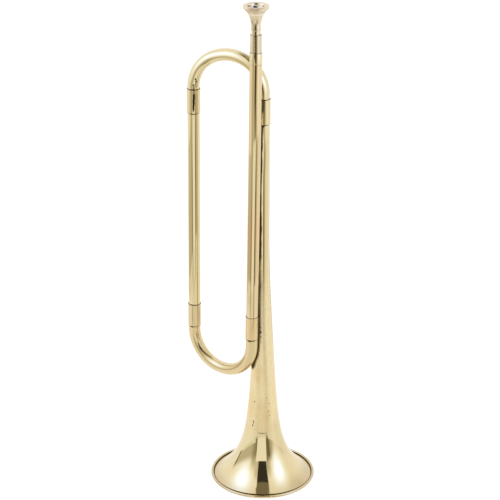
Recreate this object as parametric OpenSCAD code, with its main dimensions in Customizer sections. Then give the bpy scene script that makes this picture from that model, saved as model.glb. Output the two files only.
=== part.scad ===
// One-loop natural bugle in brass, standing on its bell with the mouthpiece up.
// Z is the axis of the bell. The origin is the middle of the bell's mouth, in the
// plane that the rim stands on. The player's side of the leadpipe faces -Y.
// Millimetres.

/* [Tubing] */
// Outside diameter of the main tubing
tube_d = 12.8; // [12:0.1:13.6]
// Wall of the main tubing
tube_wall = 0.6; // [0.5:0.05:0.8]
// Bend radius of both bows, to the middle of the tube
bow_r = 38; // [35:0.5:44]
// Gap that the solder fills between a tube and the sleeve round it
solder_gap = 0.12; // [0.1:0.01:0.2]
// Gap between two tube ends that meet inside a ferrule
butt_gap = 1.5; // [1:0.1:3]

/* [Ferrules] */
// Wall of the two ferrules on the upper bow
high_ferrule_wall = 0.5; // [0.4:0.05:0.8]
// Wall of the two ferrules on the lower bow
low_ferrule_wall = 0.4; // [0.3:0.05:0.8]
// Length of the ferrules on the loop
ferrule_l = 26; // [20:0.5:30]
// Length of the ferrule on the bell
bell_ferrule_l = 27; // [20:0.5:32]
// Chamfer at both ends of a ferrule
ferrule_chamfer = 0.15; // [0.05:0.05:0.25]

/* [Loop] */
// Height at which the upper bow sits on the bell's and the return tube's axes
high_joint_z = 431.5; // [410:0.5:440]
// Height at which the lower bow sits on the leadpipe's and the return tube's axes
low_joint_z = 176.5; // [172:0.5:200]
// Straight stretch of a bow between those heights and the bend
bend_tail = 12; // [9:0.5:14]
// Straight stretch that shows between the bend and the bell's ferrule
bell_tail_show = 5; // [2:0.1:8]
// Straight stretch that shows at the upper end of the return tube
return_high_show = 1.6; // [1:0.1:8]
// Straight stretch that shows at the lower end of the return tube
return_low_show = 4.6; // [1:0.1:8]
// Straight stretch that shows at the lower end of the leadpipe
lead_low_show = 8.7; // [4:0.1:10]
// Angle that the upper bow is turned back from -X, round the bell's axis
high_turn = 17.4; // [10:0.2:26]
// Angle that the lower bow is turned back from -X, round the leadpipe
low_turn = 34.1; // [26:0.1:42]
// Gap between the leadpipe and the bell's ferrule
lead_gap_high = 2.8; // [1.5:0.1:5]
// Gap between the leadpipe's ferrule and the bell's stem
lead_gap_low = 0.9; // [0.7:0.1:3]
// Direction of the leadpipe from the bell's axis at the upper joint, from -X to -Y
lead_side_high = 58.1; // [50:0.1:66]
// Direction of the leadpipe from the bell's axis at the lower joint, from -X to -Y
lead_side_low = 49.1; // [46:0.1:58]

/* [Bell] */
// Diameter over the bell's rolled rim
bell_d = 114.5; // [104:0.5:126]
// Diameter of the rolled bead
bead_d = 2.8; // [2.4:0.1:4]
// Flat worn on the underside of the bead, as a depth
rim_land = 0.1; // [0.05:0.01:0.2]
// Wire that the bead is rolled round
wire_d = 1.5; // [1:0.1:1.6]
// Sheet that the bell is made of
bell_wall = 0.55; // [0.4:0.05:0.55]
// Height in which the flare shrinks by a factor of e
flare_fade = 24.3; // [20:0.1:28]
// Radius that the stem's cone gains for each millimetre towards the mouth
cone_slope = 0.052; // [0.04:0.001:0.055]
// Height at which the cone runs out into the plain tail
cone_top = 254; // [220:1:265]
// Softness of the change from cone to tail
cone_blend = 14; // [4:0.5:20]
// Height of the brazed seam between the stem and the flare
seam_z = 62; // [50:1:80]
// Gap at the brazed seam
seam_gap = 0.05; // [0.03:0.01:0.1]

/* [Mouthpiece end] */
// Height of the leadpipe's upper end
lead_top_z = 479.5; // [465:0.5:500]
// Length of the collar round the receiver
collar_l = 11.5; // [8:0.5:16]
// Wall of the collar
collar_wall = 0.55; // [0.4:0.05:1]
// Length of receiver that shows above the collar
receiver_show = 19; // [12:0.5:26]
// Outside diameter of the receiver
receiver_d = 11.9; // [11.4:0.1:12.6]
// Length of the receiver's spigot inside the leadpipe
spigot_l = 8; // [5:0.5:12]
// Bore of the receiver below the mouthpiece
receiver_bore = 8.2; // [7:0.1:8.6]
// Length of mouthpiece that shows above the receiver
mouthpiece_show = 30; // [27:0.5:36]
// Length of shank inside the receiver
shank_in = 27; // [18:0.5:32]
// Diameter of the shank where it enters the receiver
shank_d = 9.1; // [8.8:0.05:9.6]
// Taper of the shank, in millimetres of diameter for each millimetre of length
shank_taper = 0.05; // [0.03:0.005:0.05]
// Running clearance between the shank and the receiver, on the radius
shank_fit = 0.05; // [0.02:0.01:0.08]
// Depth of room left below the shank's end
shank_room = 1; // [0.5:0.1:2]

/* [Mouthpiece] */
// Diameter over the mouthpiece's rim
rim_d = 26.5; // [25:0.1:28]
// Diameter of the cup at the inner edge of the rim
cup_d = 17.1; // [15:0.1:18]
// Thickness of the rim
rim_h = 4.4; // [3:0.1:5]
// How much narrower the outside of the cup starts than the rim, on the radius
rim_tuck = 0.3; // [0.1:0.1:0.8]
// Depth at which the outside of the cup has shrunk by a factor of e
cup_fade = 8.6; // [7.5:0.1:9]
// Diameter of the stem above the shank
stem_d = 9.9; // [9.6:0.1:10.6]
// Distance from the top of the rim to the step above the shank
step_depth = 25.7; // [22:0.1:26.5]
// Depth of the cup below the rim's top
cup_depth = 19.2; // [15:0.1:20]
// Diameter of the throat
throat_d = 3.7; // [3.4:0.1:4.4]
// Length of the throat
throat_l = 2.5; // [1:0.1:4]
// Diameter of the backbore at the shank's end
backbore_d = 6.2; // [5:0.1:6.4]

/* [Braces] */
// Height of the spacer between the leadpipe and the bell's ferrule
high_brace_z = 425; // [419:0.5:431]
// Height of the spacer between the leadpipe's ferrule and the bell's stem
low_brace_z = 185; // [182:0.5:190]
// Length of a spacer, along the tubes
brace_l = 12; // [6:0.5:14]
// Width of a spacer
brace_w = 4; // [3:0.1:6]

/* [Hidden] */
$fn = 96;

bright_brass = [0.93, 0.85, 0.62];
satin_brass = [0.88, 0.78, 0.52];
pale_brass = [0.92, 0.86, 0.70];
dull_solder = [0.45, 0.40, 0.30];
cut = 1; // overrun of a cutting tool past the face that it cuts

tube_r = tube_d / 2;
bore_r = tube_r - tube_wall;
sleeve_r = tube_r + solder_gap;
high_ferrule_r = sleeve_r + high_ferrule_wall;
low_ferrule_r = sleeve_r + low_ferrule_wall;

// Bell: a straight cone that fades into the tail, plus a flare that dies away
// exponentially with height.
bell_r = bell_d / 2;
bead_r = bead_d / 2;
bead_z = bead_r - rim_land;
bead_ring_r = bell_r - bead_r;
function cone_rise(z) = cone_slope * cone_blend * ln(1 + exp((cone_top - z) / cone_blend));
flare_reach = bead_ring_r - tube_r - cone_rise(0);
function bell_r_at(z) = tube_r + cone_rise(z) + flare_reach * exp(-z / flare_fade);
function bell_slope_at(z) =
    -cone_slope / (1 + exp((z - cone_top) / cone_blend))
    - flare_reach / flare_fade * exp(-z / flare_fade);
// The point that lies depth under the bell's outside at height z, square to the sheet.
function bell_point(z, depth) =
    let (s = bell_slope_at(z), n = norm([1, s]))
    [bell_r_at(z) - depth / n, z + depth * s / n];

// Axes of the loop's tubes. A point is taken on each at the height of each joint.
high_bend_z = high_joint_z + bend_tail;
low_bend_z = low_joint_z - bend_tail;
function polar(r, turn) = [-r * cos(turn), r * sin(turn), 0];
bell_high = [0, 0, high_joint_z];
return_high = bell_high + polar(2 * bow_r, high_turn);
lead_high = bell_high + polar(high_ferrule_r + lead_gap_high + tube_r, -lead_side_high);
lead_low_r = bell_r_at(low_joint_z) + lead_gap_low + low_ferrule_r;
lead_low = [0, 0, low_joint_z] + polar(lead_low_r, -lead_side_low);
return_low = lead_low + polar(2 * bow_r, low_turn);
function on_line(p, q, z) = p + (q - p) * (z - p.z) / (q.z - p.z);
function lead_at(z) = on_line(lead_low, lead_high, z);
function return_at(z) = on_line(return_low, return_high, z);

// Heights of the ferrules' middles, where the tube ends meet.
bell_ferrule_z = high_bend_z - bell_tail_show - bell_ferrule_l / 2;
return_high_z = high_bend_z - return_high_show - ferrule_l / 2;
return_low_z = low_bend_z + return_low_show + ferrule_l / 2;
lead_low_z = low_bend_z + lead_low_show + ferrule_l / 2;

// Mouthpiece end, on a vertical axis through the leadpipe's upper end.
mouth_axis = lead_at(lead_top_z);
lead_lean = norm([lead_high.x - lead_low.x, lead_high.y - lead_low.y]) / (high_joint_z - low_joint_z);
collar_top_z = lead_top_z + collar_l;
receiver_top_z = collar_top_z + receiver_show;
top_z = receiver_top_z + mouthpiece_show;
shank_r = shank_d / 2;
function shank_r_at(z) = shank_r + (z - receiver_top_z) * shank_taper / 2;
shank_end_z = receiver_top_z - shank_in;

function unit(v) = v / norm(v);

// Stands its children, drawn up Z from 0, on the line from p towards q.
module along(p, q) {
    v = q - p;
    translate(p) rotate([0, acos(v.z / norm(v)), atan2(v.y, v.x)]) children();
}

// Puts its children's Z on up, their X as near to side as it goes, and 0 on place.
module on_frame(place, side, up) {
    z = unit(up);
    x = unit(side - (side * z) * z);
    y = cross(z, x);
    multmatrix([
        [x.x, y.x, z.x, place.x],
        [x.y, y.y, z.y, place.y],
        [x.z, y.z, z.z, place.z],
        [0, 0, 0, 1]
    ]) children();
}

module pipe(l) {
    difference() {
        cylinder(r = tube_r, h = l);
        translate([0, 0, -cut]) cylinder(r = bore_r, h = l + 2 * cut);
    }
}

// A straight tube between two heights on an axis.
module pipe_on(low, high) {
    along(low, high) pipe(norm(high - low));
}

// A ferrule centred on 0, with both outer edges chamfered.
module ferrule(outer_r, l) {
    c = ferrule_chamfer;
    h = l / 2;
    rotate_extrude()
        polygon([
            [sleeve_r, -h], [outer_r - c, -h], [outer_r, -h + c],
            [outer_r, h - c], [outer_r - c, h], [sleeve_r, h]
        ]);
}

// A half-turn bow that bends towards +Z. Its straight ends stand at -X and +X.
module bow(tail_minus, tail_plus) {
    rotate([90, 0, 0])
        rotate_extrude(angle = 180)
            translate([bow_r, 0]) difference() {
                circle(r = tube_r);
                circle(r = bore_r);
            }
    translate([-bow_r, 0, -tail_minus]) pipe(tail_minus);
    translate([bow_r, 0, -tail_plus]) pipe(tail_plus);
}

// A spacer whose two long faces are hollowed to fit the bell and the leadpipe.
module spacer(z, bell_low_r, bell_high_r, lead_r) {
    lead = lead_at(z);
    low = z - brace_l / 2;
    high = z + brace_l / 2;
    turn = atan2(lead.y, lead.x);
    reach = norm([lead.x, lead.y]);
    difference() {
        translate([0, 0, low]) rotate([0, 0, turn])
            translate([0, -brace_w / 2, 0]) cube([reach, brace_w, brace_l]);
        translate([0, 0, low])
            cylinder(r1 = bell_low_r + solder_gap, r2 = bell_high_r + solder_gap, h = brace_l);
        along(lead_at(low - cut), lead_at(high + cut))
            cylinder(r = lead_r + solder_gap, h = brace_l + 3 * cut);
    }
}

module mouthpiece() {
    rim_r = rim_d / 2;
    cup_r = cup_d / 2;
    stem_r = stem_d / 2;
    throat_r = throat_d / 2;
    rim_half_h = rim_h / 2;
    rim_half_w = (rim_r - cup_r) / 2;
    rim_mid_r = (rim_r + cup_r) / 2;
    // Depths are measured down from the top of the rim.
    outside_gain = rim_r - rim_tuck - stem_r;
    function outside_r(depth) = stem_r + outside_gain * exp(-pow(depth / cup_fade, 1.5));
    function inside_r(depth) = throat_r
        + (cup_r - throat_r) * pow(1 - (depth - rim_half_h) / (cup_depth - rim_half_h), 1.2);
    neck_r = outside_r(rim_h);
    steps = 16;
    throat_end = cup_depth + throat_l;
    under_rim = [for (a = [0:10:80])
        [neck_r + (rim_r - neck_r) * cos(a), top_z - rim_half_h - rim_half_h * sin(a)]];
    outside = [for (i = [0:steps])
        let (d = rim_h + (step_depth - rim_h) * pow(i / steps, 1.3)) [outside_r(d), top_z - d]];
    inside = [for (i = [steps:-1:0])
        let (d = rim_half_h + (cup_depth - rim_half_h) * i / steps) [inside_r(d), top_z - d]];
    over_rim = [for (a = [170:-10:10])
        [rim_mid_r + rim_half_w * cos(a), top_z - rim_half_h + rim_half_h * sin(a)]];
    color(pale_brass) translate([mouth_axis.x, mouth_axis.y, 0]) rotate_extrude()
        polygon(concat(
            under_rim,
            outside,
            [
                [shank_r_at(top_z - step_depth), top_z - step_depth],
                [shank_r_at(shank_end_z), shank_end_z],
                [backbore_d / 2, shank_end_z],
                [throat_r, top_z - throat_end]
            ],
            inside,
            over_rim
        ));
}

module mouthpiece_receiver() {
    outer_r = receiver_d / 2;
    // The leadpipe leans, so the upright spigot is thinner the further it goes in.
    spigot_r = bore_r - solder_gap - spigot_l * lead_lean;
    bottom_z = lead_top_z - spigot_l;
    room_z = shank_end_z - shank_room;
    color(pale_brass) translate([mouth_axis.x, mouth_axis.y, 0]) rotate_extrude()
        polygon([
            [spigot_r, bottom_z],
            [spigot_r, lead_top_z],
            [outer_r, lead_top_z],
            [outer_r, receiver_top_z],
            [shank_r_at(receiver_top_z) + shank_fit, receiver_top_z],
            [shank_r_at(room_z) + shank_fit, room_z],
            [receiver_bore / 2, room_z],
            [receiver_bore / 2, bottom_z]
        ]);
}

module receiver_collar() {
    inner_r = receiver_d / 2 + solder_gap;
    outer_r = inner_r + collar_wall;
    color(bright_brass) translate([mouth_axis.x, mouth_axis.y, lead_top_z]) difference() {
        cylinder(r = outer_r, h = collar_l);
        translate([0, 0, -cut]) cylinder(r = inner_r, h = collar_l + 2 * cut);
    }
}

module leadpipe() {
    color(bright_brass)
        pipe_on(lead_at(lead_low_z + butt_gap / 2), lead_at(lead_top_z - 2 * solder_gap));
}

module lead_ferrule() {
    color(bright_brass)
        along(lead_at(lead_low_z), lead_high) ferrule(low_ferrule_r, ferrule_l);
}

module lower_bow() {
    down = unit(lead_low - lead_high) + unit(return_low - return_high);
    color(bright_brass)
        on_frame((return_low + lead_low) / 2, lead_low - return_low, down)
            translate([0, 0, bend_tail])
                bow(
                    return_low_show + (ferrule_l - butt_gap) / 2,
                    lead_low_show + (ferrule_l - butt_gap) / 2
                );
}

module return_low_ferrule() {
    color(bright_brass)
        along(return_at(return_low_z), return_high) ferrule(low_ferrule_r, ferrule_l);
}

module return_tube() {
    color(bright_brass)
        pipe_on(return_at(return_low_z + butt_gap / 2), return_at(return_high_z - butt_gap / 2));
}

module return_high_ferrule() {
    color(bright_brass)
        along(return_at(return_high_z), return_high) ferrule(high_ferrule_r, ferrule_l);
}

module upper_bow() {
    up = [0, 0, 1] + unit(return_high - return_low);
    color(bright_brass)
        on_frame((return_high + bell_high) / 2, bell_high - return_high, up)
            translate([0, 0, bend_tail])
                bow(
                    return_high_show + (ferrule_l - butt_gap) / 2,
                    bell_tail_show + (bell_ferrule_l - butt_gap) / 2
                );
}

module bell_ferrule() {
    color(bright_brass)
        translate([0, 0, bell_ferrule_z]) ferrule(high_ferrule_r, bell_ferrule_l);
}

// Stem and tail of the bell, from the seam up to the middle of the bell's ferrule.
module bell_stem() {
    top = bell_ferrule_z - butt_gap / 2;
    steps = 30;
    heights = [for (i = [0:steps]) seam_z + (top - seam_z) * pow(i / steps, 1.4)];
    color(satin_brass) rotate_extrude()
        polygon(concat(
            [for (z = heights) bell_point(z, 0)],
            [for (i = [steps:-1:0]) bell_point(heights[i], bell_wall)]
        ));
}

// Flare of the bell, from the seam down to the bead that its edge is rolled into.
module bell_flare() {
    top = seam_z - seam_gap;
    edge = bead_z - bead_r / 2 - rim_land;
    steps = 36;
    heights = [for (i = [0:steps]) edge + (top - edge) * pow(i / steps, 1.3)];
    color(bright_brass) rotate_extrude() {
        polygon(concat(
            [for (z = heights) bell_point(z, 0)],
            [for (i = [steps:-1:0]) bell_point(heights[i], bell_wall)]
        ));
        difference() {
            translate([bead_ring_r, bead_z]) circle(r = bead_r);
            translate([bead_ring_r, bead_z]) circle(r = bead_r - bell_wall);
            translate([bead_ring_r - bead_d, -bead_d]) square([2 * bead_d, bead_d]);
        }
    }
}

module rim_wire() {
    color(dull_solder) rotate_extrude()
        translate([bead_ring_r, bead_z]) circle(r = wire_d / 2);
}

module upper_brace() {
    color(dull_solder) spacer(high_brace_z, high_ferrule_r, high_ferrule_r, tube_r);
}

module lower_brace() {
    low_r = bell_r_at(low_brace_z - brace_l / 2);
    high_r = bell_r_at(low_brace_z + brace_l / 2);
    color(dull_solder) spacer(low_brace_z, low_r, high_r, low_ferrule_r);
}

mouthpiece();
mouthpiece_receiver();
receiver_collar();
leadpipe();
lead_ferrule();
lower_bow();
return_low_ferrule();
return_tube();
return_high_ferrule();
upper_bow();
bell_ferrule();
bell_stem();
bell_flare();
rim_wire();
upper_brace();
lower_brace();
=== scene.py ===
# A brass bugle that stands on its bell on a white table, inside a light tent.
# The bugle's lengths are millimetres in the dictionaries and in the spots of the materials.
# The stage, the camera and the rest of the materials are in metres, like the meshes.
import math
import bpy
import numpy as np
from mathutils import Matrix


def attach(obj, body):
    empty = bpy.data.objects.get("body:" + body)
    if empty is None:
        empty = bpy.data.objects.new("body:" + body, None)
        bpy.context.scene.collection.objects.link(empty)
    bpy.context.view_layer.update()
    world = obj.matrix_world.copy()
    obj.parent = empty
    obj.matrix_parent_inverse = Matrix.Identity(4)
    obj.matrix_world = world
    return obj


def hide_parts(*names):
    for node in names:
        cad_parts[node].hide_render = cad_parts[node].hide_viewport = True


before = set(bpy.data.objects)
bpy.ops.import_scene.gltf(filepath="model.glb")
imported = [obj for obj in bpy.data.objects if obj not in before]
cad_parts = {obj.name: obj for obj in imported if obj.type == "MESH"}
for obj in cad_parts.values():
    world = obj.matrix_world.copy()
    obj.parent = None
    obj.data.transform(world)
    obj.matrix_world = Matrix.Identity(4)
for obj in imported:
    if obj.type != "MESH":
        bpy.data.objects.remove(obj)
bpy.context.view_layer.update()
scene = bpy.context.scene
mm = 0.001
print("frame loaded")


def unit(v):
    v = np.asarray(v, float)
    return v / np.linalg.norm(v)


def gridMesh(name, grid, material, body, replaced):
    # grid is rows x columns x 3 in millimetres. Rows and columns both close on themselves,
    # so the skin has no edge. The faces are turned outwards by the sign of the volume.
    rows, cols = grid.shape[:2]
    points = grid.reshape(-1, 3) * mm
    i, j = np.meshgrid(np.arange(rows), np.arange(cols), indexing="ij")
    i2, j2 = (i + 1) % rows, (j + 1) % cols
    quads = np.stack([i * cols + j, i * cols + j2, i2 * cols + j2, i2 * cols + j], -1).reshape(-1, 4)
    a, b, c, d = (points[quads[:, k]] for k in range(4))
    volume = (np.cross(b - a, c - a) * a).sum() + (np.cross(c - a, d - a) * a).sum()
    if volume < 0:
        quads = quads[:, ::-1]
    mesh = bpy.data.meshes.new(name)
    mesh.from_pydata(points.tolist(), [], quads.tolist())
    mesh.polygons.foreach_set("use_smooth", [True] * len(mesh.polygons))
    mesh.set_sharp_from_angle(angle=math.radians(35))
    mesh.materials.append(material)
    obj = bpy.data.objects.new(name, mesh)
    scene.collection.objects.link(obj)
    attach(obj, body)
    if replaced:
        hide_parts(*replaced)
    return obj


def rounded(corners):
    # Each corner is (r, z, fillet). A fillet becomes an arc of seven points.
    pts = []
    count = len(corners)
    for k in range(count):
        p = np.array(corners[k][:2], float)
        radius = corners[k][2]
        before = unit(np.array(corners[k - 1][:2], float) - p)
        after = unit(np.array(corners[(k + 1) % count][:2], float) - p)
        turn = math.acos(max(-1, min(1, float(before @ after))))
        if radius <= 0 or turn > 3.1:
            pts.append(p)
            continue
        reach = radius / math.tan(turn / 2)
        centre = p + unit(before + after) * radius / math.sin(turn / 2)
        start, end = p + before * reach - centre, p + after * reach - centre
        sweep = math.pi - turn
        for s in np.linspace(0, 1, 7):
            arm = (math.sin((1 - s) * sweep) * start + math.sin(s * sweep) * end) / math.sin(sweep)
            pts.append(centre + arm)
    return np.array(pts)


def turned(profile, foot, up, cols=160):
    # A closed (r, z) profile turned about the line from foot along up.
    up = unit(up)
    side = unit(np.cross([0, 1, 0], up))
    front = np.cross(up, side)
    angle = np.arange(cols) * 2 * math.pi / cols
    ring = np.cos(angle)[:, None] * side + np.sin(angle)[:, None] * front
    return np.asarray(foot) + profile[:, 0][:, None, None] * ring[None] + profile[:, 1][:, None, None] * up


def swept(path, normal, outer, inner, cols=96, ripple=0):
    # A tube along a path in one plane: out along the outside, back along the bore.
    # The outside swells and shrinks by ripple, as a sine of the distance along the path.
    path = np.asarray(path, float)
    tangent = np.gradient(path, axis=0)
    tangent /= np.linalg.norm(tangent, axis=1)[:, None]
    normal = unit(normal)
    side = np.cross(tangent, normal)
    side /= np.linalg.norm(side, axis=1)[:, None]
    angle = np.arange(cols) * 2 * math.pi / cols
    ring = np.cos(angle)[None, :, None] * side[:, None] + np.sin(angle)[None, :, None] * normal
    travel = np.concatenate([[0], np.cumsum(np.linalg.norm(np.diff(path, axis=0), axis=1))])
    swell = ripple * np.sin(travel / 3.1)[:, None] * np.cos(angle)[None, :]
    outside = path[:, None] + (outer + swell)[..., None] * ring
    bore = path[::-1, None] + inner * ring[::-1]
    return np.concatenate([outside, bore])


class Sum:
    # A socket with arithmetic: each operation adds a Math node.
    tree = None

    def __init__(self, socket):
        self.socket = socket

    @staticmethod
    def node(operation, *args, clamp=False):
        n = Sum.tree.nodes.new("ShaderNodeMath")
        n.operation = operation
        n.use_clamp = clamp
        for k, a in enumerate(args):
            if isinstance(a, Sum):
                Sum.tree.links.new(a.socket, n.inputs[k])
            else:
                n.inputs[k].default_value = a
        return Sum(n.outputs[0])

    def __add__(self, other):
        return Sum.node("ADD", self, other)

    def __sub__(self, other):
        return Sum.node("SUBTRACT", self, other)

    def __rsub__(self, other):
        return Sum.node("SUBTRACT", other, self)

    def __mul__(self, other):
        return Sum.node("MULTIPLY", self, other)

    def __truediv__(self, other):
        return Sum.node("DIVIDE", self, other)

    def __pow__(self, other):
        return Sum.node("POWER", self, other)

    __radd__ = __add__
    __rmul__ = __mul__


def least(a, b):
    return Sum.node("MINIMUM", a, b)


def most(a, b):
    return Sum.node("MAXIMUM", a, b)


def lengthOf(*parts):
    # Length of the vector with these parts: the root of the sum of their squares.
    total = parts[0] * parts[0]
    for part in parts[1:]:
        total = total + part * part
    return Sum.node("SQRT", total)


def step(x, low, high):
    # 0 below low and 1 above high, with a smooth change between.
    n = Sum.tree.nodes.new("ShaderNodeMapRange")
    n.interpolation_type = "SMOOTHSTEP"
    Sum.tree.links.new(x.socket, n.inputs[0])
    n.inputs[1].default_value, n.inputs[2].default_value = low, high
    return Sum(n.outputs[0])


def between(x, a, b, soft):
    return step(x, a - soft, a + soft) * (1 - step(x, b - soft, b + soft))


def bump01(x, centre, width):
    # A Gaussian hump of height 1.
    t = (x - centre) / width
    return Sum.node("EXPONENT", (t * t) * -0.5)


def lerp(a, b, t):
    return a + (b - a) * t


def coords(tree):
    Sum.tree = tree
    c = tree.nodes.new("ShaderNodeTexCoord")
    s = tree.nodes.new("ShaderNodeSeparateXYZ")
    tree.links.new(c.outputs["Object"], s.inputs[0])
    return c, Sum(s.outputs[0]), Sum(s.outputs[1]), Sum(s.outputs[2])


def noise(tree, c, scale, detail=2, rough=0.5, stretch=(1, 1, 1)):
    m = tree.nodes.new("ShaderNodeMapping")
    m.inputs["Scale"].default_value = stretch
    tree.links.new(c.outputs["Object"], m.inputs[0])
    n = tree.nodes.new("ShaderNodeTexNoise")
    n.inputs["Scale"].default_value = scale
    n.inputs["Detail"].default_value = detail
    n.inputs["Roughness"].default_value = rough
    tree.links.new(m.outputs[0], n.inputs["Vector"])
    return Sum(n.outputs[0])


def mixColour(tree, t, a, b):
    m = tree.nodes.new("ShaderNodeMix")
    m.data_type = "RGBA"
    tree.links.new(t.socket, m.inputs[0])
    for value, socket in ((a, m.inputs[6]), (b, m.inputs[7])):
        if isinstance(value, tuple):
            socket.default_value = (*value, 1)
        else:
            tree.links.new(value, socket)
    return m.outputs[2]


def mixShaders(tree, factor, first, second):
    mix = tree.nodes.new("ShaderNodeMixShader")
    for k, socket in enumerate((factor, first, second)):
        tree.links.new(socket, mix.inputs[k])
    return mix.outputs[0]


# The tent, the low screens in it and the table. The brass shows their reflections.
# Azimuth is in degrees from the front (-Y), positive to the right.
# Light is 1 where the tent is plain white.
stage = {"tableHalf": 9, "tentR": 1.1, "tentH": 2.6, "screenR": 0.52, "screenH": 0.25, "screenTurn": 112}
flap = (-28, 17.5)
dimTint = (1.65, 1.45, 1.0)


def tintedLight(tree, light, tint):
    # Bright light is a little cooler than dim light: each channel has its own powers,
    # one below white and one above. tint is the colour of the dimmest light.
    low = most(least(light, 1.0), 0.0)
    high = most(light, 1.0)
    c = tree.nodes.new("ShaderNodeCombineColor")
    for k, (dimPower, brightPower) in enumerate(((0.72, 0.30), (0.755, 0.51), (1.0, 1.0))):
        channel = least(low * tint[k], low ** dimPower) * (high ** brightPower)
        tree.links.new(channel.socket, c.inputs[k])
    return c.outputs[0]


def stageMaterial(name, light, cameraShader=None, edge=None):
    mat = bpy.data.materials.new(name)
    mat.use_nodes = True
    tree = mat.node_tree
    tree.nodes.clear()
    c, x, y, z = coords(tree)
    azimuth = Sum.node("ARCTAN2", x, y * -1.0) * (180 / math.pi)
    glow = tree.nodes.new("ShaderNodeEmission")
    tree.links.new(tintedLight(tree, *light(azimuth, x, y, z)), glow.inputs[0])
    surface = glow.outputs[0]
    if cameraShader:
        path = tree.nodes.new("ShaderNodeLightPath")
        surface = mixShaders(tree, path.outputs["Is Camera Ray"], surface, cameraShader(tree))
    if edge:
        clear = tree.nodes.new("ShaderNodeBsdfTransparent")
        surface = mixShaders(tree, edge(azimuth, z).socket, clear.outputs[0], surface)
    out = tree.nodes.new("ShaderNodeOutputMaterial")
    tree.links.new(surface, out.inputs[0])
    mat.cycles.emission_sampling = "NONE"
    return mat


def domeLight(az, x, y, h):
    # Plain cloth with duller patches. Each is (light, azimuths, softness, heights of its fade).
    light = lerp(0.98, 1.12, step(Sum.node("ABSOLUTE", az), 100, 150))
    patches = [(0.62, -75, -20, 18, 0.1, 0.45), (0.36, -50, -8, 9, 0.25, 1.1), (0.58, -32, -8, 4, 0.9, 1.4),
               (0.46, 8, 34, 8, 0.6, 1.3), (0.70, 30, 44, 6, 0.3, 0.9)]
    for dull, left, right, soft, low, high in patches:
        light = lerp(light, dull, between(az, left, right, soft) * (1 - step(h, low, high)))
    light = lerp(light, 0.84, between(az, 90, 126, 10) * step(h, 0.4, 0.9))
    # Two soft boxes behind the side walls, wider above the middle than below it.
    boxes = [(1.9, -73, 18, 0.95, 0.33, 0.47), (2.0, 61, 13.5, 0.65, 0.30, 0.42)]
    for bright, turn, wide, middle, below, above in boxes:
        upper = step(h, middle - 0.001, middle + 0.001)
        tall = lerp(bump01(h, middle, below), bump01(h, middle, above), upper)
        light = light + bump01(az, turn, wide) * tall * bright
    # A dim opening overhead, and the dark slit in front that widens as it rises.
    light = lerp(light, 0.30, between(az, -62, 60, 14) * step(h, 1.95, 2.4))
    light = lerp(light, 0.17, between(az, -42, 46, 12) * step(h, 2.05, 2.3))
    overhead = bump01(x, 0.38, 0.2) * bump01(y, 0.1, 0.22) * step(h, 1.9, 2.2)
    light = lerp(light, 0.22, overhead)
    foot = 1 - step(h, 0.40, 0.46)
    left = lerp(-5.0, foot * 7 + step(h, 1.6, 1.9) * 5, step(h, 0.14, 0.24))
    slit = step(az + h * 1.4 + h * h * 1.9 + left, -17.6, -14.6)
    slit = slit * (1 - step(az - h * 2.5 - h * h * 3.6 - foot * 7, 11.4, 14.4))
    inside = lerp(0.036, 0.13, step(h, 1.36, 1.5))
    inside = lerp(0.24, inside, step(h, 0.0, 0.1))
    light = lerp(light, inside, slit * (1 - step(h, 2.2, 2.45)))
    light = lerp(light, 0.55, step(h, 2.45, 2.58))
    # Brown wood shows through the slit near the table, and the slit is nearly grey above it.
    wood = slit * (1 - step(h, 0.2, 0.42))
    grey = slit * (1 - wood) * (1 - step(h, 1.3, 1.4))
    red = wood * 1.2 + dimTint[0] - grey * 0.45
    green = wood * 0.8 + dimTint[1] - grey * 0.35
    return light, (red, green, dimTint[2])


def screenLight(az, x, y, h):
    # Low screens round the table: dull ones on the left, paler ones on the right.
    light = lerp(0.50, 0.40, step(az, -62, -50))
    light = lerp(light, 0.24, step(az, -49, -42))
    light = lerp(light, 0.14, between(az, -33, -20, 2))
    light = lerp(light, 0.86, between(az, -104, -38.5, 1.5) * (1 - step(h, 0.016, 0.026)))
    light = lerp(light, 0.08, 1 - step(az, -108.5, -106.5))
    rightSide = [(0.12, 16, 17), (0.36, 32, 39), (0.90, 38, 68), (0.72, 76, 96), (0.98, 98, 112)]
    for then, low, high in rightSide:
        light = lerp(light, then, step(az, low, high))
    # A white flap in front.
    return lerp(light, 1.02, between(az, *flap, 0.8)), dimTint


def screenEdge(az, h):
    # 1 where the screen is solid. The flap ends sharply, and the side screens fade upwards.
    low = lerp(0.10, 0.12, step(az, 0, 1))
    low = lerp(low, 0.0, step(az, 28, 56))
    high = lerp(0.20, 0.24, step(az, 0, 1))
    high = lerp(high, 0.09, step(az, 30, 66))
    front = between(az, *flap, 0.4)
    low = lerp(low, 0.2185, front)
    high = lerp(high, 0.2225, front)
    t = Sum.node("DIVIDE", h - low, high - low, clamp=True)
    return 1 - t * t * (3 - t * 2)


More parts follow.
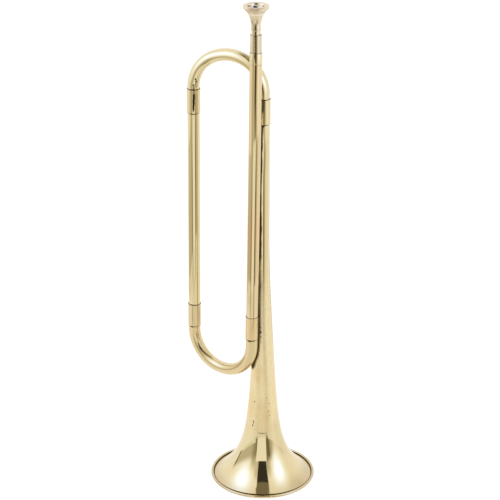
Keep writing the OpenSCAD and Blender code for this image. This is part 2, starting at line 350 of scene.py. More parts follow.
def tableLight(az, x, y, h):
    # Light from the table, which has the shadows of the screens on it.
    r = lengthOf(x, y)
    light = lerp(0.84, 1.02, step(Sum.node("ABSOLUTE", az), 30, 80))
    light = lerp(light, 0.92, between(az, 72, 128, 10))
    shadows = [(0.76, -100, -34, 14, 0.46, 0.52), (0.30, -41, -33, 3, 0.42, 0.52),
               (0.34, -33, -28, 1.5, 0.41, 0.46), (0.28, 17.5, 31, 2, 0.37, 0.43)]
    for dull, left, right, soft, low, high in shadows:
        light = lerp(light, dull, between(az, left, right, soft) * step(r, low, high))
    light = lerp(light, 0.66, between(az, *flap, 1) * between(r, 0.395, 0.42, 0.01))
    # Beyond the screens.
    far = lerp(0.56, 0.42, between(az, -60, -30, 6))
    far = lerp(far, lerp(0.34, 0.24, step(r, 0.8, 1.1)), between(az, -12, 20, 3))
    far = lerp(far, 0.33, between(az, 26, 46, 6))
    far = lerp(far, 0.92, step(az, 54, 66))
    far = lerp(far, 1.0, most(step(az, 90, 125), 1 - step(az, -122, -100)))
    return lerp(light, far, step(r, stage["screenR"], stage["screenR"] + 0.02)), dimTint


def tableSeen(tree):
    # White, with a little of its light from the lamps so that it keeps a soft shadow.
    glow = tree.nodes.new("ShaderNodeEmission")
    glow.inputs[1].default_value = 0.8
    cloth = tree.nodes.new("ShaderNodeBsdfDiffuse")
    cloth.inputs[0].default_value = (0.3, 0.3, 0.3, 1)
    both = tree.nodes.new("ShaderNodeAddShader")
    tree.links.new(glow.outputs[0], both.inputs[0])
    tree.links.new(cloth.outputs[0], both.inputs[1])
    return both.outputs[0]


def stagePiece(name, points, faces, material):
    mesh = bpy.data.meshes.new(name)
    mesh.from_pydata(points, [], faces)
    mesh.polygons.foreach_set("use_smooth", [True] * len(mesh.polygons))
    mesh.materials.append(material)
    obj = bpy.data.objects.new(name, mesh)
    scene.collection.objects.link(obj)
    return obj


def makeTable():
    s = stage["tableHalf"]
    stagePiece("table", [(-s, -s, 0), (s, -s, 0), (s, s, 0), (-s, s, 0)], [(0, 1, 2, 3)],
               stageMaterial("tableCloth", tableLight, cameraShader=tableSeen))


def makeTent():
    # A dome: a quarter ellipse turned about the z axis.
    rows, cols = 48, 96
    lift = np.linspace(0, math.pi / 2, rows)
    spin = np.linspace(0, 2 * math.pi, cols + 1)[:-1]
    points = np.stack([
        stage["tentR"] * np.cos(lift)[:, None] * np.cos(spin)[None],
        stage["tentR"] * np.cos(lift)[:, None] * np.sin(spin)[None],
        stage["tentH"] * np.sin(lift)[:, None] * np.ones(cols)[None]], -1)
    faces = [(i * cols + j, (i + 1) * cols + j, (i + 1) * cols + (j + 1) % cols, i * cols + (j + 1) % cols)
             for i in range(rows - 1) for j in range(cols)]
    return stagePiece("tent", points.reshape(-1, 3).tolist(), faces, stageMaterial("tentCloth", domeLight))


def makeScreens():
    # An upright band along an arc, with two points every two degrees.
    limit = stage["screenTurn"]
    turn = np.radians(np.linspace(-limit, limit, limit + 1))
    x, y = stage["screenR"] * np.sin(turn), -stage["screenR"] * np.cos(turn)
    points = np.stack([np.stack([x, y, 0 * x + h], -1) for h in (0, stage["screenH"])], 1)
    faces = [(2 * k, 2 * k + 2, 2 * k + 3, 2 * k + 1) for k in range(limit)]
    return stagePiece("screens", points.reshape(-1, 3).tolist(), faces,
                      stageMaterial("screenCloth", screenLight, edge=screenEdge))


makeTable()
for piece in (makeTent(), makeScreens()):
    piece.visible_camera = False
    piece.visible_diffuse = False
    piece.visible_shadow = False
    piece.visible_transmission = False

world = bpy.data.worlds.new("room")
scene.world = world
world.use_nodes = True
sky = world.node_tree.nodes["Background"]
sky.inputs[0].default_value = (1, 1, 1, 1)
sky.inputs[1].default_value = 1.0
scene.view_settings.view_transform = "Standard"
print("tent and table set")


# Where the tubes run. Sides are angles in degrees, from the left towards the back: of the
# return tube round the tube that its bow joins it to, and of the leadpipe round the bell.
tube = {"r": 6.4, "bore": 5.8, "bend": 38.0, "tail": 12.0, "butt": 1.5, "ripple": 0.006}
sleeve = {"bore": 6.52, "highR": 7.02, "lowR": 6.92, "l": 26.0, "bellL": 27.0, "edge": 0.16}
loop = {"high": 431.5, "low": 176.5, "highGap": 2.8, "lowGap": 0.9, "returnSideHigh": 17.4,
        "returnSideLow": 34.1, "leadSideHigh": -58.1, "leadSideLow": -49.1}
heights = {"bell": 425.0, "returnHigh": 428.9, "returnLow": 182.1, "lead": 186.2, "leadTop": 479.5}
bell = {"r": 57.25, "stemR": 6.4, "cone": 0.052, "coneTop": 254, "soft": 14, "flare": 24.3,
        "wall": 0.55, "foot": 0.5, "seam": 62.0, "seamGap": 0.012, "top": 424.25, "bead": 1.4, "beadZ": 1.3}


def polar(r, turn):
    return np.array([-r * math.cos(math.radians(turn)), r * math.sin(math.radians(turn)), 0])


def coneRise(z):
    # A cone that begins softly at coneTop and widens downwards.
    return bell["cone"] * bell["soft"] * np.log1p(np.exp((bell["coneTop"] - z) / bell["soft"]))


def bellR(z):
    # Radius of the horn: the stem, the cone and an exponential flare that ends at the bead.
    flare = bell["r"] - bell["bead"] - bell["stemR"] - coneRise(0)
    return bell["stemR"] + coneRise(z) + flare * np.exp(-z / bell["flare"])


bellHigh = np.array([0, 0, loop["high"]])
returnHigh = bellHigh + polar(2 * tube["bend"], loop["returnSideHigh"])
leadHigh = bellHigh + polar(sleeve["highR"] + loop["highGap"] + tube["r"], loop["leadSideHigh"])
leadLow = np.array([0, 0, loop["low"]]) + polar(float(bellR(loop["low"])) + loop["lowGap"] + sleeve["lowR"],
                                                loop["leadSideLow"])
returnLow = leadLow + polar(2 * tube["bend"], loop["returnSideLow"])
leadAlong = unit(leadHigh - leadLow)
returnAlong = unit(returnHigh - returnLow)


def onLine(p, q, z):
    return p + (q - p) * (z - p[2]) / (q[2] - p[2])


def leadAt(z):
    return onLine(leadLow, leadHigh, z)


def returnAt(z):
    return onLine(returnLow, returnHigh, z)


def bowPlace(minus, plus, up):
    # Centre and axes of the bow that joins two tubes.
    z = unit(up)
    side = plus - minus
    x = unit(side - (side @ z) * z)
    return (minus + plus) / 2 + z * tube["tail"], (x, z, np.cross(z, x))


lowBend = bowPlace(returnLow, leadLow, -leadAlong - returnAlong)
highBend = bowPlace(returnHigh, bellHigh, np.array([0, 0, 1]) + returnAlong)
mouthAxis = leadAt(heights["leadTop"]) * [1, 1, 0]


# Helpers of the brass materials.
def vectorMath(tree, operation, vector, by=None):
    n = tree.nodes.new("ShaderNodeVectorMath")
    n.operation = operation
    tree.links.new(vector, n.inputs[0])
    if by is not None:
        n.inputs[1].default_value = [v * mm for v in by]
    return n.outputs


def darkSpots(tree, c, spots):
    # Each spot is (centre, half sizes) in millimetres. The result is 1 inside a spot.
    total = None
    for centre, half in spots:
        moved = vectorMath(tree, "SUBTRACT", c.outputs["Object"], centre)
        scaled = vectorMath(tree, "DIVIDE", moved[0], half)
        reach = vectorMath(tree, "LENGTH", scaled[0])
        one = 1 - step(Sum(reach["Value"]), 0.55, 1.15)
        total = one if total is None else most(total, one)
    return total


def fromLine(x, y, z, foot, up):
    # The offset, in metres, from the line that runs from foot along up.
    a = [v - float(f) * mm for v, f in zip((x, y, z), foot)]
    along = a[0] * float(up[0]) + a[1] * float(up[1]) + a[2] * float(up[2])
    return [v - along * float(u) for v, u in zip(a, up)]


def lineGap(x, y, z, foot, up, r):
    # Distance in metres from a tube of radius r whose axis runs from foot along up.
    return lengthOf(*fromLine(x, y, z, foot, up)) - r * mm


def bowGap(x, y, z, centre, axes, bend, r):
    # The same for a tube bent round centre, in the plane of the first two axes.
    p = [v - float(f) * mm for v, f in zip((x, y, z), centre)]
    a, b, w = (p[0] * float(u[0]) + p[1] * float(u[1]) + p[2] * float(u[2]) for u in axes)
    return lengthOf(lengthOf(a, b) - bend * mm, w) - r * mm


def brass(name, colour, deep, rough, roughSpread=0.03, cloud=14, cloudAmount=0.35, fine=0.0, fineScale=900,
          wave=0.0, waveScale=60, specks=0.0, stretch=(1, 1, 0.35), spots=(), shadeMask=None, extra=None,
          turn=None, stainAndShadeColour=(0.035, 0.02, 0.009)):
    # colour is the clean metal, and deep is where the lacquer is warm and old. extra changes
    # the finish, the shade mask is painted shade, spots are stains and painted dark reflections,
    # and turn gives the angle in the shading about z.
    mat = bpy.data.materials.new(name)
    mat.use_nodes = True
    tree = mat.node_tree
    shader = tree.nodes["Principled BSDF"]
    shader.inputs["Metallic"].default_value = 1
    c, x, y, z = coords(tree)
    age = step(noise(tree, c, cloud, 4, 0.6, stretch), 0.42, 0.72) * cloudAmount
    skin = mixColour(tree, age, colour, deep)
    roughness = noise(tree, c, cloud * 3, 3, 0.6, stretch) * (2 * roughSpread) + (rough - roughSpread)
    height = noise(tree, c, waveScale, 2, 0.5) * wave
    if fine:
        height = height + noise(tree, c, fineScale, 2, 0.6) * fine
    if specks:
        patch = step(noise(tree, c, 30, 2, 0.6), 0.50, 0.62)
        dots = step(noise(tree, c, 420, 1, 0.4), 0.70, 0.76) * patch * specks
        skin = mixColour(tree, dots, skin, (0.16, 0.11, 0.05))
        roughness = roughness + dots * 0.3
        height = height - dots * 0.00004
    if extra:
        skin, roughness, height = extra(tree, c, x, y, z, skin, roughness, height)
    # Stains, painted dark reflections and painted shade all darken the skin towards one colour.
    dark = darkSpots(tree, c, spots)
    if shadeMask:
        shadeAmount = shadeMask(tree, c, x, y, z)
        dark = shadeAmount if dark is None else most(dark, shadeAmount)
    if dark is not None:
        skin = mixColour(tree, dark, skin, stainAndShadeColour)
        roughness = roughness + dark * 0.25
    tree.links.new(skin, shader.inputs["Base Color"])
    tree.links.new(roughness.socket, shader.inputs["Roughness"])
    facing = None
    if turn:
        geometry = tree.nodes.new("ShaderNodeNewGeometry")
        spin = tree.nodes.new("ShaderNodeVectorRotate")
        spin.rotation_type = "Z_AXIS"
        tree.links.new(turn(x, z).socket, spin.inputs["Angle"])
        tree.links.new(geometry.outputs["Normal"], spin.inputs["Vector"])
        facing = spin.outputs[0]
    if wave or fine or specks:
        relief = tree.nodes.new("ShaderNodeBump")
        relief.inputs["Distance"].default_value = 1.0
        tree.links.new(height.socket, relief.inputs["Height"])
        if facing:
            tree.links.new(facing, relief.inputs["Normal"])
        facing = relief.outputs[0]
    if facing:
        tree.links.new(facing, shader.inputs["Normal"])
    return mat


# Small turns of the shading, as if the metal weren't quite true after it was bent.
def highTurn(x, z):
    leg = step(x, -0.016, -0.006) * (1 - step(z, 0.464, 0.476))
    left = (1 - step(x, -0.062, -0.042)) * step(z, 0.452, 0.468)
    return lerp(step(z, 0.4435, 0.4735) * math.radians(-14) + left * math.radians(12), math.radians(10), leg)


def lowTurn(x, z):
    return (1 - step(z, 0.127, 0.151)) * math.radians(-10)


def leadTurn(x, z):
    shank = step(z, 0.5095, 0.5105) * (1 - step(z, 0.524, 0.530))
    # The shank is a little flatter in front than a true cylinder.
    off = least(most(x + 0.0089, -0.0012), 0.0012)
    return step(z, 0.41, 0.45) * math.radians(4.5) + shank * (math.radians(5) - off * 60)


def stemTurn(x, z):
    return step(z, 0.10, 0.20) * (1 - step(z, 0.35, 0.39) * 0.5) * math.radians(12)


# Painted shade: each function gives 1 where the shade is full.
def stemSeamShade(tree, c, x, y, z):
    # Painted shade in the crevice between the bell stem and the tube beside it, and in the wedge under the
    # lower bow.
    lead = lineGap(x, y, z, leadLow, leadAlong, tube["r"])
    edge = lerp(0.0036, 0.0047, step(z, 0.185, 0.245))
    edge = lerp(0.0029, edge, step(z, 0.160, 0.180))
    edge = lerp(edge, 0.0053, step(z, 0.25, 0.28))
    edge = lerp(edge, 0.0046, step(z, 0.295, 0.335))
    bow = bowGap(x, y, z, *lowBend, tube["bend"], tube["r"])
    wedge = lerp(0.0047, 0.0027, step(z, 0.134, 0.145))
    ragged = (noise(tree, c, 160, 3, 0.6, (1, 1, 0.4)) - 0.5) * 0.0016
    upper = 1 - step((lead + ragged - edge) / lerp(0.0019, 0.0004, step(z, 0.245, 0.27)), -1, 1)
    lower = (1 - step(bow + ragged - wedge, -0.0010, 0.0012)) * step(z, 0.1305, 0.1325)
    return lerp(lower, upper, step(z, 0.164, 0.166)) * (1 - step(y, -0.0035, -0.0015)) * 0.97


def leadSeamShade(tree, c, x, y, z):
    # The same painted shade on the edge of the tube that faces the stem.
    out = fromLine(x, y, z, leadLow, leadAlong)[0]
    ragged = (noise(tree, c, 190, 3, 0.6, (1, 1, 0.4)) - 0.5) * 0.0012
    return step(out + ragged, 0.0055, 0.0062) * (1 - step(z, 0.22, 0.27)) * 0.75


def bellFerruleShade(tree, c, x, y, z):
    # And painted shade on the bell's ferrule, beside the leadpipe.
    lead = lineGap(x, y, z, leadLow, leadAlong, tube["r"])
    ragged = (noise(tree, c, 210, 3, 0.7, (1, 1, 0.5)) - 0.5) * 0.004
    lead = lead + (1 - step(z, 0.421, 0.433)) * 0.0017
    return (1 - step(lead + ragged, 0.0044, 0.0054)) * step(z, 0.411, 0.412) * 0.85


def beadGrooveShade(tree, c, x, y, z):
    # Painted shade in the corner where the bell sheet meets its rolled bead.
    r = lengthOf(x, y)
    front = Sum.node("DIVIDE", y * -1.0, r, clamp=True)
    inner = 0.0539 - front * front * 0.00165 + (noise(tree, c, 60, 2, 0.5) - 0.5) * 0.0003
    top = 1 - step(z - front * front * 0.002, 0.0015, 0.0020)
    return step(r - inner, -0.0001, 0.00015) * (1 - step(r, 0.05455, 0.0547)) * step(z, 0.0001, 0.0004) * top


# Finishes: each function changes the colour, the roughness or the relief in places.
def flareSkin(tree, c, x, y, z, skin, roughness, height):
    # Towards the bead the flare is darker and duller, mostly at the left and right sides, and it is duller
    # at the seam with the stem.
    r = lengthOf(x, y)
    side = Sum.node("ABSOLUTE", x / r)
    darkerRim = step(r + (noise(tree, c, 34, 3, 0.6) - 0.5) * 0.012, 0.040, 0.055) * (side * 0.8 + 0.2)
    throat = step(z, 0.0585, 0.0602)
    return mixColour(tree, darkerRim, skin, (0.64, 0.505, 0.30)), roughness + darkerRim * 0.06 + throat * 0.09, height


def rosyStretch(tree, c, x, y, z, skin, roughness, height):
    # The leadpipe is copper coloured along the middle of its length.
    blush = between(z, 0.215, 0.325, 0.03) * step(noise(tree, c, 30, 3, 0.6, (1, 1, 0.2)), 0.3, 0.6)
    return mixColour(tree, blush * 0.6, skin, (0.88, 0.60, 0.34)), roughness, height


def bowDarkReflection(tree, c, x, y, z, skin, roughness, height):
    # A painted dark reflection, an olive band over the top of the upper bow, where it goes behind the
    # leadpipe.
    away = lengthOf(x - float(highBend[0][0]) * mm, z - float(highBend[0][2]) * mm)
    band = bump01(away, 0.0429, 0.0011) * step(x, -0.031, -0.019) * (1 - step(x, -0.012, -0.009))
    return mixColour(tree, band * 0.5, skin, (0.22, 0.19, 0.07)), roughness, height


def dullSide(tree, c, x, y, z, skin, roughness, height):
    # The lower bow has lost more of its polish on the side away from the bell.
    return skin, roughness + (1 - step(x, -0.055, -0.025)) * 0.07, height


def receiverEndShade(tree, c, x, y, z, skin, roughness, height):
    # Painted shade: a dark line at each end of the receiver, where it meets the shank and the collar.
    line = step(z, 0.5091, 0.5095) + between(z, 0.4911, 0.4921, 0.0002)
    return mixColour(tree, line * 0.4, skin, (0.20, 0.14, 0.08)), roughness + line * 0.15, height


def brightCup(tree, c, x, y, z, skin, roughness, height):
    # The cup is painted paler than the outside: painted light against the darkening of its inner
    # reflections.
    dx, dy = x - float(mouthAxis[0]) * mm, y - float(mouthAxis[1]) * mm
    r = lengthOf(dx, dy)
    cup = (1 - step(r, 0.0086, 0.0092)) * step(z, 0.5305, 0.5315)
    skin = mixColour(tree, cup, skin, (0.95, 0.865, 0.72))
    # Outside it is brushed under the rim, a fine line runs round the shank, and painted shade darkens the
    # corner under the rim.
    brushed = step(z, 0.5210, 0.5265)
    line = between(z, 0.5155, 0.5161, 0.0001)
    corner = bump01(z, 0.5354, 0.0009) * step(r, 0.0088, 0.0090)
    skin = mixColour(tree, line * 0.45 + corner * 0.3, skin, (0.35, 0.25, 0.15))
    rimTop = step(z, 0.5382, 0.5387) * (1 - step(dy, -0.0105, -0.0085)) * 0.4
    return skin, roughness + brushed * lerp(0.33, 0.30, cup) + rimTop + line * 0.3, height


def satin(tree, c, x, y, z, skin, roughness, height):
    # The stem is bright where it is thin, and dull, brushed and warmer in patches lower down.
    bright = step(z, 0.20, 0.285)
    foot = 1 - step(z, 0.061, 0.085)
    rough = lerp(lerp(roughness, 0.14, foot), 0.08, bright)
    skin = mixColour(tree, (1 - bright) * (1 - foot), skin, (0.92, 0.77, 0.455))
    warmth = darkSpots(tree, c, [((1.0, -17, 84), (9.5, 9, 19)), ((-3.5, -13, 128), (7, 8, 13)),
                                 ((2.0, -19, 64), (10, 10, 7)), ((-12, -8, 88), (5, 8, 26))])
    warmth = warmth * step(noise(tree, c, 70, 4, 0.65, (1, 1, 0.6)), 0.30, 0.62) * 0.75
    skin = mixColour(tree, warmth, skin, (0.84, 0.635, 0.335))
    grain = step(noise(tree, c, 420, 3, 0.7, (1, 1, 0.6)), 0.40, 0.64) * (1 - bright) * 0.16
    skin = mixColour(tree, grain, skin, (0.60, 0.45, 0.24))
    return skin, rough, height * (1 - bright * 0.8)


# The metals. Spots are stains and dark marks, each at its place on the bugle: on the upper bow, the return
# tube's ferrules and the mouthpiece's cup they are painted reflections.
clean, warm, rosy = (0.81, 0.68, 0.40), (0.78, 0.60, 0.31), (0.80, 0.61, 0.35)
# The colour of the painted shade along the leadpipe's side that faces the stem.
leadSeamShadeColour = (0.08, 0.042, 0.008)
tubeBrass = brass("tubeBrass", clean, warm, 0.055, roughSpread=0.015, wave=0.000006, waveScale=45)
leadBrass = brass("leadBrass", (0.80, 0.65, 0.385), rosy, 0.055, roughSpread=0.015, cloudAmount=0.6,
                  wave=0.000006, waveScale=45, extra=rosyStretch, shadeMask=leadSeamShade, stainAndShadeColour=leadSeamShadeColour,
                  turn=leadTurn)
bowBrass = brass("bowBrass", (0.80, 0.68, 0.41), warm, 0.06, roughSpread=0.02, wave=0.00002, waveScale=32,
                 turn=highTurn, extra=bowDarkReflection,
                 # These spots are painted dark reflections near the ferrule.
                 spots=[((-70.2, 15.8, 453.6), (0.8, 2, 1.7)), ((-72.2, 16.0, 447.2), (1.3, 2, 0.8)),
                        ((-69.4, 16.3, 450.9), (1.2, 2, 0.7))])
lowBowBrass = brass("lowBowBrass", (0.76, 0.615, 0.345), (0.78, 0.58, 0.305), 0.13, roughSpread=0.02,
                    cloudAmount=0.6, wave=0.00002, waveScale=32, turn=lowTurn, extra=dullSide)
ferruleBrass = brass("ferruleBrass", (0.785, 0.64, 0.375), warm, 0.05, roughSpread=0.015,
                     wave=0.000006, waveScale=60,
                     # These spots are a painted dark reflection, a streak down the ferrule.
                     spots=[((-71.9, 15.9, 434.6), (1.35, 4, 5.0)), ((-72.2, 15.9, 429.0), (1.3, 4, 7.0)),
                            ((-72.5, 15.9, 423.0), (1.1, 4, 5.4))])
lowFerruleBrass = brass("lowFerruleBrass", (0.745, 0.60, 0.35), warm, 0.06, roughSpread=0.015,
                        # These spots are two painted reflection stripes on the ferrule.
                        spots=[((-76.9, 22.0, 182.5), (0.7, 3, 15)), ((-69.5, 24.5, 182.5), (0.6, 3, 15))],
                        stainAndShadeColour=(0.52, 0.40, 0.21))
leadFerruleBrass = brass("leadFerruleBrass", (0.80, 0.60, 0.325), rosy, 0.07, roughSpread=0.02,
                         shadeMask=leadSeamShade, stainAndShadeColour=leadSeamShadeColour)
bellFerruleBrass = brass("bellFerruleBrass", clean, warm, 0.06, roughSpread=0.015,
                         wave=0.00001, waveScale=60, shadeMask=bellFerruleShade)
brightBrass = brass("brightBrass", (0.86, 0.735, 0.475), warm, 0.06, turn=leadTurn)
ringBrass = brass("ringBrass", (0.76, 0.64, 0.43), (0.62, 0.47, 0.30), 0.08, cloud=90, cloudAmount=0.6,
                  extra=receiverEndShade, turn=leadTurn)
mouthBrass = brass("mouthBrass", (0.82, 0.685, 0.475), (0.78, 0.61, 0.415), 0.05, roughSpread=0.02, cloud=40,
                   turn=leadTurn, extra=brightCup,
                   # These spots are two painted dark reflections on the cup's far wall.
                   spots=[((-9.0, -6.2, 535.0), (2.6, 3, 2.3)), ((-8.0, -4.8, 538.5), (1.9, 2.5, 0.8))])
stemBrass = brass("stemBrass", clean, (0.80, 0.63, 0.35), 0.34, roughSpread=0.06, cloud=22,
                  cloudAmount=0.5, fine=0.000004, fineScale=700, wave=0.00002, waveScale=55, specks=0.75,
                  shadeMask=stemSeamShade, extra=satin, turn=stemTurn, stainAndShadeColour=(0.075, 0.04, 0.009),
                  spots=[((-9.0, -12.3, 95.5), (0.9, 2, 0.7)), ((-10.1, -14.8, 71.5), (0.5, 2, 2.6)),
                         ((-11.2, -14.6, 67.3), (0.5, 2, 1.6)), ((4.0, -14.4, 101.0), (0.5, 2, 0.6)),
                         ((7.2, -13.7, 94.0), (0.4, 2, 0.9)), ((6.2, -14.8, 85.0), (0.6, 2, 0.6)),
                         ((7.6, -14.6, 79.6), (0.5, 2, 0.5)), ((-2.4, -10.2, 178.5), (1.1, 2, 1.6)),
                         ((-2.2, -10.3, 172.8), (0.9, 2, 1.0)), ((-2.9, -9.8, 184.0), (0.8, 2, 1.2)),
                         ((-0.8, -6.4, 410.0), (1.5, 2, 1.2))])
flareBrass = brass("flareBrass", clean, (0.80, 0.64, 0.36), 0.05, roughSpread=0.02, cloud=26,
                   cloudAmount=0.6, wave=0.000008, waveScale=70, shadeMask=beadGrooveShade, stretch=(1, 1, 1),
                   extra=flareSkin, spots=[((-0.4, -19.4, 60.0), (5.8, 3, 0.42))])
# The solder's near-black colour is partly painted shade of the corners it fills.
solderAndShade = brass("solderAndShade", (0.05, 0.032, 0.018), (0.16, 0.11, 0.06), 0.35, cloud=260, cloudAmount=0.9,
                   stretch=(1, 1, 1))
print("materials made")


# Tubes and bows.
def straight(low, high, rows=60):
    # Rows crowd towards both ends.
    t = 0.5 - 0.5 * np.cos(np.linspace(0, math.pi, rows))
    return low + (high - low) * t[:, None]


def bowPath(bend, tailMinus, tailPlus):
    # A half circle in the bow's own plane, with a straight tail at each end.
    centre, (x, z, y) = bend
    a = np.linspace(0, math.pi, 97)
    arc = np.stack([tube["bend"] * np.cos(a), 0 * a, tube["bend"] * np.sin(a)], -1)
    plus = np.stack([np.full(9, tube["bend"]), np.zeros(9), np.linspace(-tailPlus, 0, 10)[:-1]], -1)
    minus = np.stack([np.full(9, -tube["bend"]), np.zeros(9), np.linspace(0, -tailMinus, 10)[1:]], -1)
    local = np.concatenate([plus, arc, minus])
    return centre + local[:, :1] * x + local[:, 1:2] * y + local[:, 2:] * z, y


def makeBow(name, bend, tailMinus, tailPlus, metal, node):
    path, normal = bowPath(bend, tailMinus, tailPlus)
    gridMesh(name, swept(path, normal, tube["r"], tube["bore"], ripple=tube["ripple"]), metal, "horn",
             [node])


def makeTube(name, low, high, metal, node):
    gridMesh(name, swept(straight(low, high), [0, 1, 0], tube["r"], tube["bore"]), metal, "horn",
             [node])


# Two tube ends stand halfButt from the middle of their ferrule. The tail of a bow is the
# straight part that shows and the part hidden in its ferrule.
tails = {"returnHigh": 1.6, "bellHigh": 5, "returnLow": 4.6, "leadLow": 8.7}
halfButt = tube["butt"] / 2
hidden = sleeve["l"] / 2 - halfButt
hiddenBell = sleeve["bellL"] / 2 - halfButt
leadTopGap = 0.24
makeBow("upperBow", highBend, tails["returnHigh"] + hidden, tails["bellHigh"] + hiddenBell, bowBrass,
        "upper_bow")
makeBow("lowerBow", lowBend, tails["returnLow"] + hidden, tails["leadLow"] + hidden, lowBowBrass,
        "lower_bow")
makeTube("returnTube", returnAt(heights["returnLow"] + halfButt), returnAt(heights["returnHigh"] - halfButt),
         tubeBrass, "return_tube")
makeTube("leadpipe", leadAt(heights["lead"] + halfButt), leadAt(heights["leadTop"] - leadTopGap),
         leadBrass, "leadpipe")
print("tubes made")

# Ferrules. Each has (height of solder, how ragged, phase) for its lower and its upper end.
ferrules = [
    {"name": "bellFerrule", "node": "bell_ferrule", "r": sleeve["highR"], "l": sleeve["bellL"],
     "at": np.array([0, 0, heights["bell"]]), "up": np.array([0, 0, 1.0]), "metal": bellFerruleBrass,
     "solder": [(0.9, 0.6, 0.3), (0.8, 0.3, 1.1)]},
    {"name": "returnHighFerrule", "node": "return_high_ferrule", "r": sleeve["highR"], "l": sleeve["l"],
     "at": returnAt(heights["returnHigh"]), "up": returnAlong, "metal": ferruleBrass,
     "solder": [(0.9, 0.15, 2.0), (0.7, 0.15, 0.4)]},
    {"name": "returnLowFerrule", "node": "return_low_ferrule", "r": sleeve["lowR"], "l": sleeve["l"],
     "at": returnAt(heights["returnLow"]), "up": returnAlong, "metal": lowFerruleBrass,
     "solder": [(1.1, 0.9, 1.6), (0.7, 0.3, 2.0)]},
    {"name": "leadFerrule", "node": "lead_ferrule", "r": sleeve["lowR"], "l": sleeve["l"],
     "at": leadAt(heights["lead"]), "up": leadAlong, "metal": leadFerruleBrass,
     "solder": [(1.4, 0.8, 1.6), (0.1, 1.8, 0.2)]},
]


def solderRing(f, sign, tall, ragged, phase, cols=192):
    # A fillet in the corner at the end of a ferrule. Its height is a sum of three sines
    # round the tube, and it is thickest in front and behind.
    corner = np.array([(tube["r"] + 0.01, -0.4), (f["r"] + 0.03, -0.4), (f["r"] + 0.03, 0.05),
                       (tube["r"] + 0.25, 0.5), (tube["r"] + 0.01, 1.0)])
    grid = turned(corner * [1, 0], f["at"] + unit(f["up"]) * (sign * f["l"] / 2), f["up"], cols)
    angle = np.arange(cols) * 2 * math.pi / cols
    waves = (0.5 * np.sin(3 * angle + phase) + 0.3 * np.sin(7 * angle + 2 * phase)
             + 0.25 * np.sin(17 * angle + 5 * phase))
    tallness = tall * (1 + ragged * waves) * (0.1 + 0.9 * np.sin(angle) ** 2)
    above = corner[:, 1][:, None] * np.maximum(tallness, 0.05)[None, :]
    below = -0.45 * np.clip(tallness, 0.02, 1)[None, :] * np.ones((5, 1))
    rise = np.where(corner[:, 1][:, None] > 0, above, below)
    return grid + (sign * rise)[..., None] * unit(f["up"])


def sleeveProfile(f, rows=30):
    # A rectangle with small fillets outside, and rows along the outer face.
    h = f["l"] / 2
    corners = rounded([(sleeve["bore"], -h, 0), (f["r"], -h, sleeve["edge"]), (f["r"], h, sleeve["edge"]),
                       (sleeve["bore"], h, 0)])
    face = np.stack([np.full(rows, f["r"]), np.linspace(-h + 0.5, h - 0.5, rows)], -1)
    cut = int(np.argmax(corners[:, 1] > 0))
    return np.concatenate([corners[:cut], face, corners[cut:]])


for f in ferrules:
    gridMesh(f["name"], turned(sleeveProfile(f), f["at"], f["up"]), f["metal"], "horn",
             [f["node"]])
    # The solder shows as a thin dark ring in the corner at each end, darkened partly as painted shade of
    # that corner.
    for sign, label, look in ((-1, "Low", f["solder"][0]), (1, "High", f["solder"][1])):
        gridMesh(f["name"] + "Solder" + label, solderRing(f, sign, *look), solderAndShade, "horn", [])
print("ferrules made")


# The bell: stem, flare and the bead rolled round its wire.
def bellSheet(z, depth, near=0.01):
    # The bell's curve at the heights z, moved inwards by depth at right angles to it.
    slope = (bellR(z + near) - bellR(z - near)) / (2 * near)
    n = np.sqrt(1 + slope * slope)
    return np.stack([bellR(z) - depth / n, z + depth * slope / n], -1)


def sheetMetal(low, high, rows):
    # Out along the outside and back along the inside. Rows crowd towards the low end.
    z = low + (high - low) * np.linspace(0, 1, rows) ** 1.3
    return np.concatenate([bellSheet(z, 0), bellSheet(z, bell["wall"])[::-1]])


def beadRing():
    # A circle with a flat land where it would go below the table.
    a = np.linspace(0, 2 * math.pi, 48, endpoint=False)
    z = np.maximum(bell["beadZ"] + bell["bead"] * np.sin(a), 0.0)
    return np.stack([bell["r"] - bell["bead"] + bell["bead"] * np.cos(a), z], -1)


stem = sheetMetal(bell["seam"], bell["top"], 150)
gridMesh("bellStem", turned(stem, [0, 0, 0], [0, 0, 1], 192), stemBrass, "horn", ["bell_stem"])
flare = sheetMetal(bell["foot"], bell["seam"] - bell["seamGap"], 130)
gridMesh("bellFlare", turned(flare, [0, 0, 0], [0, 0, 1], 256), flareBrass, "horn",
         ["bell_flare"])
gridMesh("rolledBead", turned(beadRing(), [0, 0, 0], [0, 0, 1], 256), flareBrass, "horn",
         ["rim_wire"])
print("bell made")

# The mouthpiece. Depths are measured down from the top of its rim.
mouth = {"rim": 13.25, "cup": 8.55, "rimH": 4.4, "lean": 0.55, "tuck": 0.3, "fade": 9.6, "fadePower": 1.8,
         "stem": 4.95, "step": 25.7, "depth": 19.2, "bowl": 14.2, "bowlPower": 1.6, "throat": 1.85,
         "throatL": 2.5, "backbore": 3.1, "shank": 4.55, "taper": 0.025, "shankEnd": 483.0, "top": 540.0}
receiver = {"r": 5.95, "top": 510.0, "bottom": 471.5, "seat": 479.5, "spigot": 5.57, "fit": 0.05,
            "room": 482, "bore": 4.1, "ringsLow": 492.5, "ringsHigh": 508.8, "pitch": 2.0, "cut": 0.035}
collar = {"r": 6.62, "bore": 6.07, "bottom": 479.5, "top": 491.0}
halfRim = mouth["rimH"] / 2


def shankR(z):
    # A cone with its named radius at the receiver's mouth.
    return mouth["shank"] + (z - receiver["top"]) * mouth["taper"]


def cupOutside(d):
    # From the rim's radius to the stem's, by a stretched exponential of the depth.
    gain = mouth["rim"] - mouth["tuck"] - mouth["stem"]
    return mouth["stem"] + gain * np.exp(-(d / mouth["fade"]) ** mouth["fadePower"])


def cupInside(d):
    # From the rim's inner edge to the throat, by a power of the depth.
    t = (d - halfRim) / (mouth["bowl"] - halfRim)
    return mouth["throat"] + (mouth["cup"] - mouth["throat"]) * (1 - t ** mouth["bowlPower"])


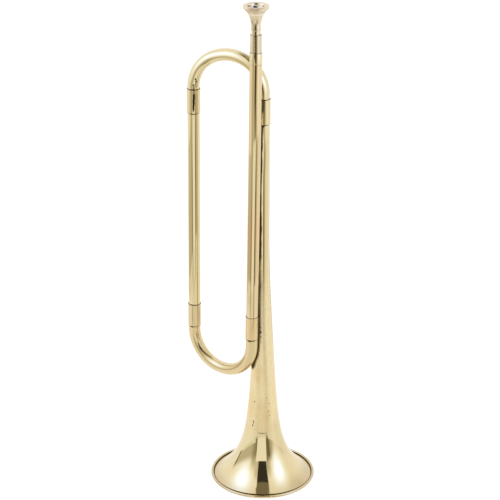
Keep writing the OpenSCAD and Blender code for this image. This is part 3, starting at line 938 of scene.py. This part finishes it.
def mouthProfile():
    # Under the rim, down the outside, along the shank, up the bore and the cup, over the rim.
    top, neck = mouth["top"], float(cupOutside(mouth["rimH"]))
    a = np.radians(np.arange(0, 86, 5))
    under = np.stack([neck + (mouth["rim"] - neck) * np.cos(a), top - halfRim - halfRim * np.sin(a)], -1)
    d = mouth["rimH"] + (mouth["step"] - 0.25 - mouth["rimH"]) * np.linspace(0, 1, 60) ** 1.2
    outside = np.stack([cupOutside(d), top - d], -1)
    shoulder, middle, end = top - mouth["step"], 500, mouth["shankEnd"]
    # The stem steps down to the shank over an eased corner.
    shank = np.array([(mouth["stem"] - 0.1, shoulder + 0.06), (mouth["stem"] - 0.25, shoulder),
                      (float(shankR(shoulder)), shoulder - 0.02), (float(shankR(middle)), middle),
                      (float(shankR(end)), end), (mouth["backbore"], end),
                      (mouth["throat"], top - mouth["depth"] - mouth["throatL"])])
    d = halfRim + (mouth["bowl"] - halfRim) * np.linspace(1, 0, 50)
    inside = np.stack([cupInside(d), top - d], -1)
    mid, wide = (mouth["rim"] + mouth["cup"]) / 2, (mouth["rim"] - mouth["cup"]) / 2
    a = np.radians(np.arange(175, 4, -5))
    lean = np.where(np.cos(a) > 0, mouth["lean"], 1.0)
    over = np.stack([mid + wide * np.sign(np.cos(a)) * np.abs(np.cos(a)) ** lean,
                     top - halfRim + halfRim * np.sin(a) ** lean], -1)
    return np.concatenate([under, outside, shank, inside, over])


def receiverProfile():
    # A spigot, a sleeve with fine rings cut as a narrow cosine, and the taper bore.
    ringZ = np.arange(receiver["ringsLow"], receiver["ringsHigh"], 0.05)
    wave = 0.5 - 0.5 * np.cos(2 * math.pi * ringZ / receiver["pitch"])
    rings = np.stack([receiver["r"] - receiver["cut"] * wave ** 3, ringZ], -1)
    top, middle, room, bottom = receiver["top"], 500, receiver["room"], receiver["bottom"]
    body = rounded([(receiver["spigot"], bottom, 0.3), (receiver["spigot"], receiver["seat"], 0),
                    (receiver["r"], receiver["seat"], 0)])
    # The lip is rounded between two points at mid height, which are then dropped.
    lip = rounded([(receiver["r"], middle, 0), (receiver["r"], top, 0.3),
                   (float(shankR(top)) + receiver["fit"], top, 0.12), (4.5, middle, 0)])[1:-1]
    lower = np.array([(float(shankR(room)) + receiver["fit"], room), (receiver["bore"], room),
                      (receiver["bore"], bottom)])
    return np.concatenate([body, rings, lip, lower])


gridMesh("mouthpiece", turned(mouthProfile(), mouthAxis, [0, 0, 1], 160), mouthBrass, "mouthpiece",
         ["mouthpiece"])
gridMesh("mouthpieceReceiver", turned(receiverProfile(), mouthAxis, [0, 0, 1], 128), ringBrass, "horn",
         ["mouthpiece_receiver"])
band = rounded([(collar["bore"], collar["bottom"], 0), (collar["r"], collar["bottom"], 0.12),
                (collar["r"], collar["top"], 0.2), (collar["bore"], collar["top"], 0)])
gridMesh("receiverCollar", turned(band, mouthAxis, [0, 0, 1], 128), brightBrass, "horn",
         ["receiver_collar"])
print("mouthpiece end made")

# The braces keep their own meshes and take the solder's material, whose near-black is partly painted shade.
for name in ("upper_brace", "lower_brace"):
    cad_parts[name].data.materials.clear()
    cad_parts[name].data.materials.append(solderAndShade)
print("braces set")

# The camera, in metres and degrees. Its turn is anticlockwise, seen from above.
view = {"lens": 124.0, "sensor": 36.0, "back": 1.6708, "up": 0.9936, "down": 23.41, "turn": 0.482}
eye = bpy.data.cameras.new("eye")
eye.lens = view["lens"]
eye.sensor_width = view["sensor"]
eye.clip_end = 60
camera = bpy.data.objects.new("eye", eye)
camera.location = (0, -view["back"], view["up"])
camera.rotation_euler = (math.radians(90 - view["down"]), 0, math.radians(view["turn"]))
scene.collection.objects.link(camera)
scene.camera = camera
print("camera set")
